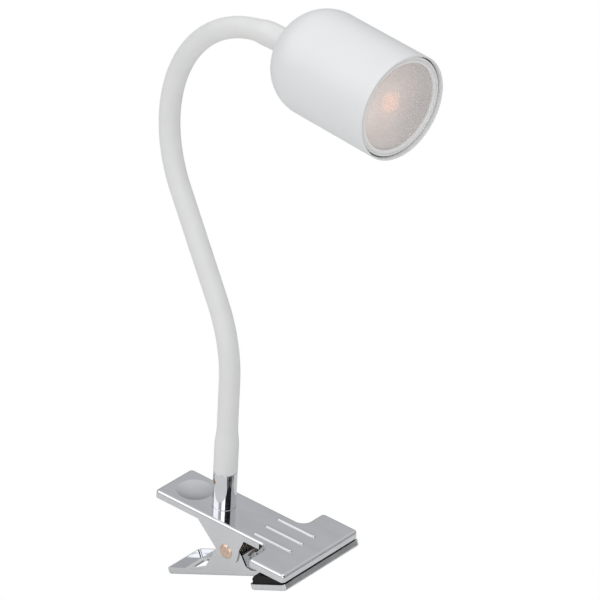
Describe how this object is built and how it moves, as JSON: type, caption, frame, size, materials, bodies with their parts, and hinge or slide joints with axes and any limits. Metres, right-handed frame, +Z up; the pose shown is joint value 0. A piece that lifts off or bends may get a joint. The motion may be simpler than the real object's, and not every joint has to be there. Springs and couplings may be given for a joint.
{
  "type": "clip-on reading lamp",
  "caption": "Clip-on reading lamp: chromed spring clip, short post, white sleeved gooseneck and cylindrical white head with a recessed LED lamp.",
  "frame": {"origin": "centre of the upper jaw pad's gripping face, where the clip holds a shelf edge", "axes": "+X out of the jaws, +Z up along the post, away from the shelf; +Y completes a right-handed frame, along the hinge pin"},
  "size_m": [0.1647, 0.0676, 0.3455],
  "materials": {
    "chrome": "polished",
    "rivet_copper": "satin, copper washed",
    "spring_steel": "oiled, bright",
    "zinc_steel": "zinc plated",
    "core_steel": "dull",
    "brass": "bright",
    "nickel": "nickel plated",
    "black_rubber": "matt",
    "white_silicone": "satin",
    "lead_insulation": "matt",
    "white_paint": "satin powder coat",
    "lamp_plastic": "satin",
    "lens_plastic": "clear, ribbed",
    "phosphor": "gloss",
    "led_board_white": "white solder mask",
    "circuit_board": "solder mask",
    "component_black": "moulded",
    "ceramic": "glazed",
    "bush_plastic": "moulded"
  },
  "bodies": {
    "clip": {"upper_lever": "chrome", "upper_jaw_pad": "black_rubber", "pivot_rivet": "rivet_copper", "torsion_spring": "spring_steel", "post_tube": "chrome", "post_grub_screw": "brass", "post_nipple": "zinc_steel", "post_nut": "zinc_steel", "post_lock_washer": "zinc_steel", "cord_outlet_bush": "bush_plastic", "lower_ferrule": "zinc_steel", "neck_sleeve_1": "white_silicone", "neck_core_1": "core_steel", "neck_leads_1": "lead_insulation"},
    "lower_jaw": {"lower_lever": "chrome", "lower_jaw_pad": "black_rubber"},
    "neck_link_2": {"neck_sleeve_2": "white_silicone", "neck_core_2": "core_steel", "neck_leads_2": "lead_insulation"},
    "neck_link_3": {"neck_sleeve_3": "white_silicone", "neck_core_3": "core_steel", "neck_leads_3": "lead_insulation"},
    "neck_link_4": {"neck_sleeve_4": "white_silicone", "neck_core_4": "core_steel", "neck_leads_4": "lead_insulation"},
    "neck_link_5": {"neck_sleeve_5": "white_silicone", "neck_core_5": "core_steel", "neck_leads_5": "lead_insulation"},
    "neck_link_6": {"neck_sleeve_6": "white_silicone", "neck_core_6": "core_steel", "neck_leads_6": "lead_insulation"},
    "neck_link_7": {"neck_sleeve_7": "white_silicone", "neck_core_7": "core_steel", "neck_leads_7": "lead_insulation"},
    "neck_link_8": {"neck_sleeve_8": "white_silicone", "neck_core_8": "core_steel", "neck_leads_8": "lead_insulation"},
    "head": {"head_shell": "white_paint", "head_washer": "zinc_steel", "head_nut": "zinc_steel", "upper_ferrule": "zinc_steel", "holder_bracket": "zinc_steel", "holder_screws": "zinc_steel", "lampholder": "ceramic", "holder_contacts": "brass", "holder_leads": "lead_insulation", "neck_sleeve_9": "white_silicone", "neck_core_9": "core_steel", "neck_leads_9": "lead_insulation"},
    "lamp": {"lamp_housing": "lamp_plastic", "lamp_lens": "lens_plastic", "lamp_reflector": "lamp_plastic", "led_board": "led_board_white", "led_chip": "phosphor", "driver_board": "circuit_board", "driver_components": "component_black", "lamp_base": "lamp_plastic", "bayonet_pins": "nickel"}
  },
  "joints": [
    {"name": "clip_hinge", "type": "hinge", "parent": "clip", "child": "lower_jaw", "pos_m": [-0.038, 0, -0.0103], "axis": [0, 1, 0], "range_deg": [0, 35], "stiffness_Nm_per_rad": 1, "springref_deg": -34.38, "deforming": ["torsion_spring"]},
    {"name": "neck_bend_1", "type": "hinge", "parent": "clip", "child": "neck_link_2", "pos_m": [-0.0523, 0, 0.06722], "axis": [-0.1149, -0.9934, 0], "range_deg": [-25, 25]},
    {"name": "neck_bend_2", "type": "hinge", "parent": "neck_link_2", "child": "neck_link_3", "pos_m": [-0.05545, 0.00036, 0.10022], "axis": [-0.9539, 0.1104, -0.279], "range_deg": [-25, 25]},
    {"name": "neck_bend_3", "type": "hinge", "parent": "neck_link_3", "child": "neck_link_4", "pos_m": [-0.07, 0.00205, 0.13], "axis": [-0.1149, -0.9934, 0], "range_deg": [-25, 25]},
    {"name": "neck_bend_4", "type": "hinge", "parent": "neck_link_4", "child": "neck_link_5", "pos_m": [-0.08674, 0.00398, 0.15872], "axis": [-0.8568, 0.0991, -0.506], "range_deg": [-25, 25]},
    {"name": "neck_bend_5", "type": "hinge", "parent": "neck_link_5", "child": "neck_link_6", "pos_m": [-0.10068, 0.0056, 0.18874], "axis": [-0.1149, -0.9934, 0], "range_deg": [-25, 25]},
    {"name": "neck_bend_6", "type": "hinge", "parent": "neck_link_6", "child": "neck_link_7", "pos_m": [-0.10085, 0.00562, 0.22174], "axis": [-0.9681, 0.112, 0.2239], "range_deg": [-25, 25]},
    {"name": "neck_bend_7", "type": "hinge", "parent": "neck_link_7", "child": "neck_link_8", "pos_m": [-0.08638, 0.00394, 0.25136], "axis": [-0.1149, -0.9934, 0], "range_deg": [-25, 25]},
    {"name": "neck_bend_8", "type": "hinge", "parent": "neck_link_8", "child": "head", "pos_m": [-0.06031, 0.00093, 0.27136], "axis": [-0.405, 0.0469, 0.9131], "range_deg": [-25, 25]},
    {"name": "lamp_twist", "type": "hinge", "parent": "head", "child": "lamp", "pos_m": [0.05367, -0.01226, 0.27526], "axis": [0.993, -0.1149, -0.0279], "range_deg": [0, 22]}
  ]
}
